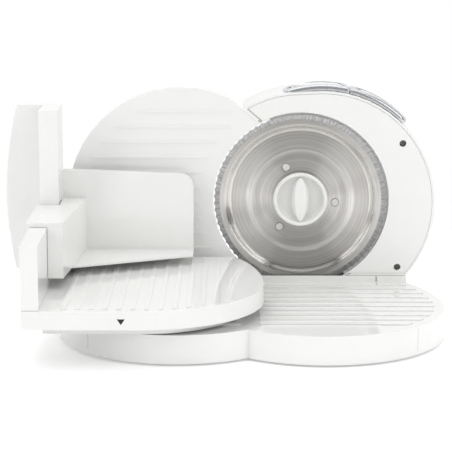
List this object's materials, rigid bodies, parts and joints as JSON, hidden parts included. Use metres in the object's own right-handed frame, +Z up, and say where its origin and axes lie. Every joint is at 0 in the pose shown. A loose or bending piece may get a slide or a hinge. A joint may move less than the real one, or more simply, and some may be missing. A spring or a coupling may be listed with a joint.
{
  "type": "food slicer",
  "caption": "Electric food slicer: lobed base, motor housing with a round serrated blade, thickness plate with its knob, and a sliding carriage with hand guard and pusher.",
  "frame": {"origin": "middle of the whole part's box, on the surface it stands on", "axes": "+X to the right along the carriage's slide, +Y away from the user along the blade's axis, +Z up"},
  "size_m": [0.4676, 0.339, 0.2493],
  "materials": {
    "white_plastic": "glossy moulded plastic",
    "grey_plastic": "plain moulded plastic",
    "rubber": "matt rubber",
    "blade_steel": "stainless steel, brushed round its middle",
    "chrome": "bright plating",
    "zinc_steel": "zinc plated",
    "dark_metal": "dark coated"
  },
  "bodies": {
    "base": {"base_shell": "white_plastic", "base_plate": "grey_plastic", "foot_front_left": "rubber", "foot_front_right": "rubber", "foot_rear_left": "rubber", "foot_rear_right": "rubber", "base_screw_1": "zinc_steel", "base_screw_2": "zinc_steel", "base_screw_3": "zinc_steel", "base_screw_4": "zinc_steel", "motor_housing": "white_plastic", "front_cover": "white_plastic", "gear_plate": "grey_plastic", "cover_screw_upper": "dark_metal", "cover_screw_lower": "dark_metal", "gear_plate_screw_1": "zinc_steel", "gear_plate_screw_2": "zinc_steel", "gear_plate_screw_3": "zinc_steel", "housing_screw_1": "zinc_steel", "housing_screw_2": "zinc_steel", "housing_screw_3": "zinc_steel", "cord_gland": "rubber", "front_bush": "grey_plastic", "blade_axle": "zinc_steel", "worm_bearing": "grey_plastic", "motor_stator": "dark_metal", "motor_end_cap": "zinc_steel", "motor_mount": "grey_plastic", "power_bezel": "chrome", "safety_bezel": "chrome", "power_switch": "rubber", "safety_switch": "rubber", "gauge_tower": "white_plastic", "tower_screw_1": "zinc_steel", "tower_screw_2": "zinc_steel"},
    "blade": {"blade": "blade_steel", "drive_hub": "white_plastic", "drive_gear": "grey_plastic"},
    "knob": {"blade_knob": "white_plastic"},
    "rotor": {"motor_rotor": "zinc_steel", "worm": "zinc_steel", "cooling_fan": "grey_plastic"},
    "power_button": {"power_button": "white_plastic"},
    "safety_button": {"safety_button": "white_plastic"},
    "gauge": {"gauge_plate": "white_plastic", "gauge_carrier": "white_plastic", "guide_rod_left": "zinc_steel", "guide_rod_right": "zinc_steel"},
    "dial": {"thickness_knob": "white_plastic", "thickness_spindle": "zinc_steel"},
    "carriage": {"carriage_tray": "white_plastic", "runner_front": "grey_plastic", "runner_rear": "grey_plastic", "carriage_upright": "white_plastic", "upright_screw_1": "zinc_steel", "upright_screw_2": "zinc_steel"},
    "pusher": {"pusher": "white_plastic"}
  },
  "joints": [
    {"name": "blade_spin", "type": "hinge", "parent": "base", "child": "blade", "pos_m": [0.08651, 0.0815, 0.1243], "axis": [0, 1, 0], "continuous": true},
    {"name": "knob_turn", "type": "hinge", "parent": "blade", "child": "knob", "pos_m": [0.08651, 0.0815, 0.1243], "axis": [0, 1, 0], "range_deg": [0, 90]},
    {"name": "rotor_spin", "type": "hinge", "parent": "base", "child": "rotor", "pos_m": [0.08651, 0.1235, 0.0707], "axis": [1, 0, 0], "continuous": true},
    {"name": "power_press", "type": "slide", "parent": "base", "child": "power_button", "axis": [0, 0, -1], "range_m": [0, 0.0025], "stiffness_N_per_m": 600},
    {"name": "safety_press", "type": "slide", "parent": "base", "child": "safety_button", "axis": [-0.523, 0, -0.8523], "range_m": [0, 0.0025], "stiffness_N_per_m": 600},
    {"name": "gauge_slide", "type": "slide", "parent": "base", "child": "gauge", "axis": [0, 1, 0], "range_m": [0, 0.015]},
    {"name": "dial_turn", "type": "hinge", "parent": "base", "child": "dial", "pos_m": [-0.05649, 0.1669, 0.1223], "axis": [0, 1, 0], "range_deg": [0, 300]},
    {"name": "carriage_slide", "type": "slide", "parent": "base", "child": "carriage", "axis": [1, 0, 0], "range_m": [0, 0.2]},
    {"name": "pusher_slide", "type": "slide", "parent": "carriage", "child": "pusher", "axis": [0, 1, 0], "range_m": [-0.085, 0]}
  ],
  "couplings": [
    {"joint": "rotor_spin", "follows": "blade_spin", "ratio": 48},
    {"joint": "dial_turn", "follows": "gauge_slide", "rad_per_m": 349}
  ]
}
